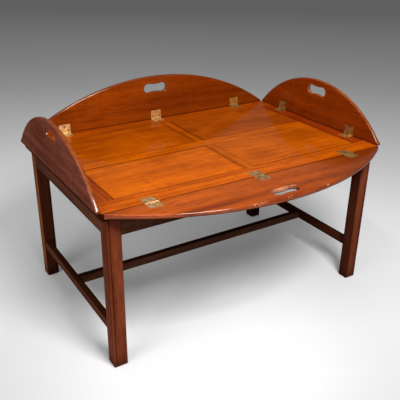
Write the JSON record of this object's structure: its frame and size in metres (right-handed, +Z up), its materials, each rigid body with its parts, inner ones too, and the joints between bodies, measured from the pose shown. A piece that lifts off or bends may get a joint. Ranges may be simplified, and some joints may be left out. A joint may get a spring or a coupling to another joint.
{
  "type": "butlers tray table",
  "caption": "Low mahogany table: a rectangular panelled tray with arc-shaped side flaps on brass spring hinges, each with a hand hole, resting on a square-legged stand with stretchers.",
  "frame": {"origin": "on the floor, under the middle of the stand and tray", "axes": "+X to the right along the tray's long side, +Y to the back, +Z up"},
  "size_m": [0.9042, 0.7187, 0.5924],
  "materials": {
    "mahogany_tray": "french polish, glossy",
    "mahogany_flap": "french polish, glossy",
    "mahogany_stand": "polished, satin",
    "brass": "aged, satin",
    "spring_steel": "plain"
  },
  "bodies": {
    "stand": {"leg_front_left": "mahogany_stand", "leg_front_right": "mahogany_stand", "leg_back_left": "mahogany_stand", "leg_back_right": "mahogany_stand", "apron_front": "mahogany_stand", "apron_back": "mahogany_stand", "apron_left": "mahogany_stand", "apron_right": "mahogany_stand", "stretcher_left": "mahogany_stand", "stretcher_right": "mahogany_stand", "stretcher_centre": "mahogany_stand"},
    "tray": {"rail_front": "mahogany_tray", "rail_back": "mahogany_tray", "stile_left": "mahogany_tray", "stile_right": "mahogany_tray", "rail_centre": "mahogany_tray", "muntin_front": "mahogany_tray", "muntin_back": "mahogany_tray", "panel_front_left": "mahogany_tray", "panel_front_right": "mahogany_tray", "panel_back_left": "mahogany_tray", "panel_back_right": "mahogany_tray", "batten_left": "mahogany_tray", "batten_right": "mahogany_tray", "hinge_front_left_tray_leaf": "brass", "hinge_front_middle_tray_leaf": "brass", "hinge_front_right_tray_leaf": "brass", "hinge_back_left_tray_leaf": "brass", "hinge_back_middle_tray_leaf": "brass", "hinge_back_right_tray_leaf": "brass", "hinge_left_front_tray_leaf": "brass", "hinge_left_back_tray_leaf": "brass", "hinge_right_front_tray_leaf": "brass", "hinge_right_back_tray_leaf": "brass", "hinge_pins": "brass", "hinge_springs": "spring_steel", "tray_hinge_screws": "brass"},
    "flap_front_body": {"flap_front": "mahogany_flap", "hinge_front_left_flap_leaf": "brass", "hinge_front_middle_flap_leaf": "brass", "hinge_front_right_flap_leaf": "brass", "front_flap_screws": "brass"},
    "flap_back_body": {"flap_back": "mahogany_flap", "hinge_back_left_flap_leaf": "brass", "hinge_back_middle_flap_leaf": "brass", "hinge_back_right_flap_leaf": "brass", "back_flap_screws": "brass"},
    "flap_left_body": {"flap_left": "mahogany_flap", "hinge_left_front_flap_leaf": "brass", "hinge_left_back_flap_leaf": "brass", "left_flap_screws": "brass"},
    "flap_right_body": {"flap_right": "mahogany_flap", "hinge_right_front_flap_leaf": "brass", "hinge_right_back_flap_leaf": "brass", "right_flap_screws": "brass"}
  },
  "joints": [
    {"name": "tray_lift", "type": "slide", "parent": "stand", "child": "tray", "axis": [0, 0, 1], "range_m": [0, 0.25]},
    {"name": "flap_front_hinge", "type": "hinge", "parent": "tray", "child": "flap_front_body", "pos_m": [0, -0.28215, 0.45], "axis": [-1, 0, 0], "range_deg": [0, 90]},
    {"name": "flap_back_hinge", "type": "hinge", "parent": "tray", "child": "flap_back_body", "pos_m": [0, 0.28215, 0.45], "axis": [-1, 0, 0], "range_deg": [0, 90]},
    {"name": "flap_left_hinge", "type": "hinge", "parent": "tray", "child": "flap_left_body", "pos_m": [-0.44015, 0, 0.45], "axis": [0, -1, 0], "range_deg": [0, 90]},
    {"name": "flap_right_hinge", "type": "hinge", "parent": "tray", "child": "flap_right_body", "pos_m": [0.44015, 0, 0.45], "axis": [0, 1, 0], "range_deg": [0, 90]}
  ]
}
